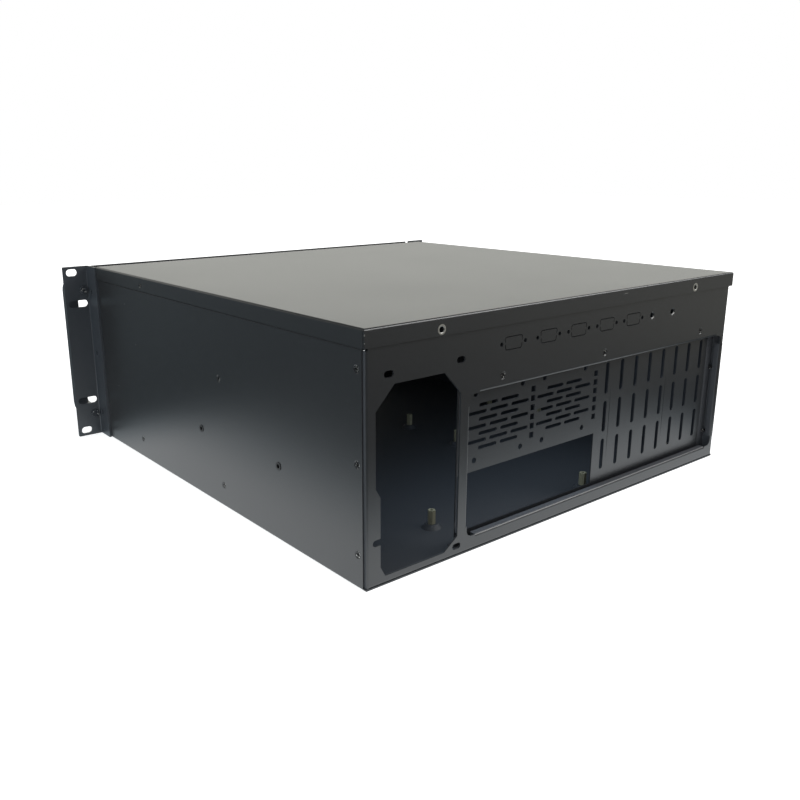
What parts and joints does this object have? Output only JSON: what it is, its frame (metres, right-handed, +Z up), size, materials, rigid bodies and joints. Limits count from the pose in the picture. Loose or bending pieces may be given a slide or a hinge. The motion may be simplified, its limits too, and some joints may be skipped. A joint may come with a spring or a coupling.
{
  "type": "rackmount server case",
  "caption": "Empty rackmount computer case: folded steel body, lift-off lid, rack ears with handles, and a rear panel with openings for supply, sockets and cards.",
  "frame": {"origin": "centre of the bounding box's underside, on the surface the base stands on", "axes": "+Z up, +Y towards the rear panel, front and handles towards -Y, +X the side beside the power supply opening"},
  "size_m": [0.4826, 0.495, 0.1778],
  "materials": {
    "black_coat": "matte fine-textured black powder coat",
    "black_coat_inner": "semi-matt black powder coat",
    "zinc_steel": "bright zinc plate",
    "black_screw": "black oxide",
    "brass": "machined",
    "handle_metal": "satin black",
    "button_plastic": "matt moulded",
    "lamp_green": "clear tinted",
    "lamp_amber": "clear tinted"
  },
  "bodies": {
    "chassis": {"base_tray": "black_coat", "rear_panel": "black_coat", "io_plate": "black_coat_inner", "front_panel": "black_coat", "front_rail": "black_coat_inner", "rack_ear_right": "black_coat", "rack_ear_left": "black_coat", "front_handle_right": "handle_metal", "front_handle_left": "handle_metal", "drive_cage": "black_coat_inner", "rear_plate_screws": "black_screw", "motherboard_standoffs": "brass", "handle_screws": "black_screw", "ear_screws": "black_screw", "rear_corner_screws": "black_screw", "drive_cage_screws": "black_screw", "rail_nuts": "zinc_steel", "power_button_housing": "button_plastic", "reset_button_housing": "button_plastic", "power_lamp": "lamp_green", "drive_lamp": "lamp_amber", "lamp_collars": "button_plastic"},
    "lid": {"lid": "black_coat", "lid_ferrules": "zinc_steel", "lid_locating_pins": "black_screw"},
    "power_button": {"power_button": "button_plastic"},
    "reset_button": {"reset_button": "button_plastic"}
  },
  "joints": [
    {"name": "lid_lift", "type": "slide", "parent": "chassis", "child": "lid", "axis": [0, 0, 1], "range_m": [0, 0.07]},
    {"name": "power_press", "type": "slide", "parent": "chassis", "child": "power_button", "axis": [0, 1, 0], "range_m": [0, 0.0015], "stiffness_N_per_m": 400, "springref_m": -0.001},
    {"name": "reset_press", "type": "slide", "parent": "chassis", "child": "reset_button", "axis": [0, 1, 0], "range_m": [0, 0.0012], "stiffness_N_per_m": 300, "springref_m": -0.001}
  ]
}
